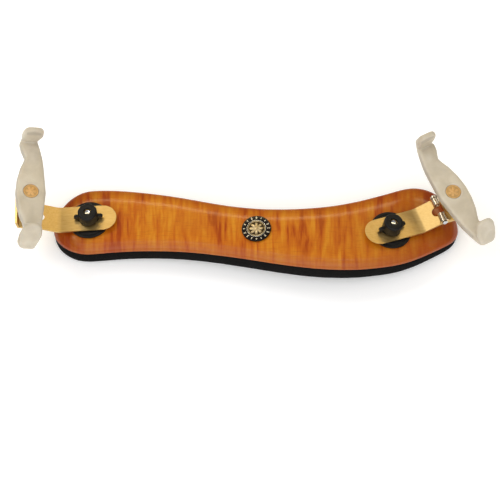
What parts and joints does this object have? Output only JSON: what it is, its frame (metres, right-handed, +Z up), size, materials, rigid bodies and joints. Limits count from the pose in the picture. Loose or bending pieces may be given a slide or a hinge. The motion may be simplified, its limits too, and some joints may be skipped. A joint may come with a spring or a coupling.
{
  "type": "violin shoulder rest",
  "caption": "Arched maple violin shoulder rest with a foam pad, swivelling gold arms held by black thumb nuts, and folding, height-adjustable rubber forks.",
  "frame": {"origin": "middle of the bounding box seen from above, on the lowest point of the foam pad", "axes": "+X along the rest towards its wide end, +Z up to the violin, +Y the side that both ends of the bridge sweep towards"},
  "size_m": [0.2712, 0.0752, 0.0649],
  "materials": {
    "lacquered_maple": "high gloss lacquer over flamed maple",
    "black_foam": "matt closed-cell foam",
    "badge_black": "gloss",
    "badge_gold": "relief, antique gold",
    "black_plastic": "satin moulded",
    "gold_metal": "satin gold plate",
    "insert_brass": "turned",
    "steel": "bright turned",
    "cream_rubber": "satin, slightly translucent",
    "cap_gold": "satin gold"
  },
  "bodies": {
    "rest": {"wood_bridge": "lacquered_maple", "foam_pad": "black_foam", "badge_rim": "badge_black", "badge_centre": "badge_gold", "left_stud": "steel", "right_stud": "steel"},
    "left_base": {"left_base_disc": "black_plastic"},
    "left_arm": {"left_arm": "gold_metal"},
    "left_leaf": {"left_fork_leaf": "gold_metal", "left_leaf_bush": "insert_brass", "left_hinge_pin_a": "steel", "left_hinge_pin_b": "steel"},
    "left_screw": {"left_fork_screw": "steel"},
    "left_fork": {"left_fork_plate": "steel", "left_fork_grip": "cream_rubber", "left_fork_cap": "cap_gold"},
    "left_washer": {"left_washer": "black_plastic"},
    "left_knob": {"left_knob": "black_plastic", "left_knob_insert": "insert_brass"},
    "right_base": {"right_base_disc": "black_plastic"},
    "right_arm": {"right_arm": "gold_metal"},
    "right_leaf": {"right_fork_leaf": "gold_metal", "right_leaf_bush": "insert_brass", "right_hinge_pin_a": "steel", "right_hinge_pin_b": "steel"},
    "right_screw": {"right_fork_screw": "steel"},
    "right_fork": {"right_fork_plate": "steel", "right_fork_grip": "cream_rubber", "right_fork_cap": "cap_gold"},
    "right_washer": {"right_washer": "black_plastic"},
    "right_knob": {"right_knob": "black_plastic", "right_knob_insert": "insert_brass"}
  },
  "joints": [
    {"name": "left_swivel", "type": "hinge", "parent": "rest", "child": "left_base", "pos_m": [-0.09386, -0.0002, 0.01605], "axis": [-0.1013, 0, 0.9949], "range_deg": [-30, 30]},
    {"name": "left_reach", "type": "slide", "parent": "left_base", "child": "left_arm", "axis": [-0.9949, 0, -0.1013], "range_m": [-0.0024, 0.0024]},
    {"name": "left_fold", "type": "hinge", "parent": "left_arm", "child": "left_leaf", "pos_m": [-0.12323, -0.0002, 0.02311], "axis": [0, 1, 0], "range_deg": [-9.5, 66]},
    {"name": "left_fork_lift", "type": "slide", "parent": "left_leaf", "child": "left_screw", "axis": [0.1424, 0, 0.9898], "range_m": [-0.008, 0.0008]},
    {"name": "left_fork_turn", "type": "hinge", "parent": "left_screw", "child": "left_fork", "pos_m": [-0.12692, -0.0002, 0.04314], "axis": [0.1424, 0, 0.9898], "range_deg": [-3600, 360]},
    {"name": "left_knob_lift", "type": "slide", "parent": "rest", "child": "left_washer", "axis": [-0.1013, 0, 0.9949], "range_m": [0, 0.0014]},
    {"name": "left_knob_turn", "type": "hinge", "parent": "left_washer", "child": "left_knob", "pos_m": [-0.09386, -0.0002, 0.01605], "axis": [-0.1013, 0, 0.9949], "range_deg": [0, 720]},
    {"name": "right_swivel", "type": "hinge", "parent": "rest", "child": "right_base", "pos_m": [0.07704, -0.0096, 0.0206], "axis": [0.1712, 0, 0.9852], "range_deg": [-52.5, 7.5]},
    {"name": "right_reach", "type": "slide", "parent": "right_base", "child": "right_arm", "axis": [0.9102, 0.3827, -0.1582], "range_m": [-0.0024, 0.0024]},
    {"name": "right_fold", "type": "hinge", "parent": "right_arm", "child": "right_leaf", "pos_m": [0.10469, 0.00131, 0.02594], "axis": [0.377, -0.9239, -0.0655], "range_deg": [0, 78]},
    {"name": "right_fork_lift", "type": "slide", "parent": "right_leaf", "child": "right_screw", "axis": [0.0992, -0.03, 0.9946], "range_m": [-0.0008, 0.0088]},
    {"name": "right_fork_turn", "type": "hinge", "parent": "right_screw", "child": "right_fork", "pos_m": [0.11181, 0.00345, 0.03676], "axis": [0.0992, -0.03, 0.9946], "range_deg": [-360, 3960]},
    {"name": "right_knob_lift", "type": "slide", "parent": "rest", "child": "right_washer", "axis": [0.1712, 0, 0.9852], "range_m": [0, 0.0014]},
    {"name": "right_knob_turn", "type": "hinge", "parent": "right_washer", "child": "right_knob", "pos_m": [0.07704, -0.0096, 0.0206], "axis": [0.1712, 0, 0.9852], "range_deg": [0, 720]}
  ],
  "couplings": [
    {"joint": "left_fork_turn", "follows": "left_fork_lift", "rad_per_m": 7854},
    {"joint": "left_knob_turn", "follows": "left_knob_lift", "rad_per_m": 8976},
    {"joint": "right_fork_turn", "follows": "right_fork_lift", "rad_per_m": 7854},
    {"joint": "right_knob_turn", "follows": "right_knob_lift", "rad_per_m": 8976}
  ]
}
